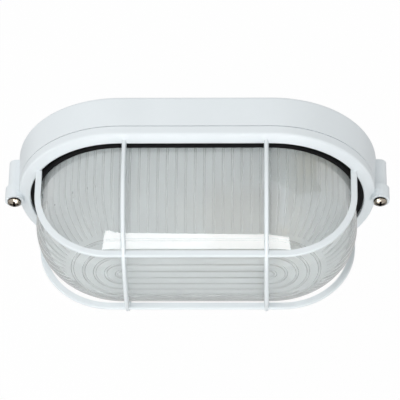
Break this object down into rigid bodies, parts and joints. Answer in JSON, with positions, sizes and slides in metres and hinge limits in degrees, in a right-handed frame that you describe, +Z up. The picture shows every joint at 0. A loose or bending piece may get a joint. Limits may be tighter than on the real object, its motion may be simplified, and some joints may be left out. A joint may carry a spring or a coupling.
{
  "type": "bulkhead light",
  "caption": "Oval wall or ceiling bulkhead light: white die-cast housing, ribbed glass bowl in a black rubber seal, and a white wire-like guard screwed on at both ends.",
  "frame": {"origin": "middle of the flat back of the housing, on the wall", "axes": "+X along the light, +Y into the wall, so the glass points along -Y, +Z up the wall; the cable entry is on the lower side"},
  "size_m": [0.228, 0.0921, 0.1265],
  "materials": {
    "white_paint": "satin white powder coat on die-cast aluminium",
    "bowl_glass": "pressed glass, smooth outside, ribbed inside",
    "seal_rubber": "black moulded rubber",
    "screw_nickel": "nickel-plated steel",
    "porcelain": "brown-glazed porcelain",
    "contact_brass": "plain brass",
    "bracket_steel": "yellow-passivated zinc-plated steel strip",
    "lamp_clear": "clear blown lamp glass",
    "block_plastic": "moulded terminal plastic",
    "sleeve_warm": "pale warm heat-resistant sleeving on the live lead",
    "sleeve_cool": "pale cool heat-resistant sleeving on the neutral lead"
  },
  "bodies": {
    "root": {"housing": "white_paint", "guard": "white_paint", "glass_bowl": "bowl_glass", "glass_seal": "seal_rubber", "end_screws": "screw_nickel", "holder_body": "porcelain", "holder_shell": "contact_brass", "holder_contact": "contact_brass", "holder_screws": "screw_nickel", "holder_nuts": "screw_nickel", "holder_terminal_screws": "contact_brass", "holder_bracket": "bracket_steel", "bracket_screws": "screw_nickel", "lamp_bulb": "lamp_clear", "lamp_cap": "screw_nickel", "terminal_block": "block_plastic", "terminal_inserts": "contact_brass", "terminal_screws": "screw_nickel", "block_screw": "screw_nickel", "earth_screw": "contact_brass", "earth_washer": "screw_nickel", "cable_grommet": "seal_rubber", "live_lead": "sleeve_warm", "neutral_lead": "sleeve_cool"}
  },
  "joints": []
}
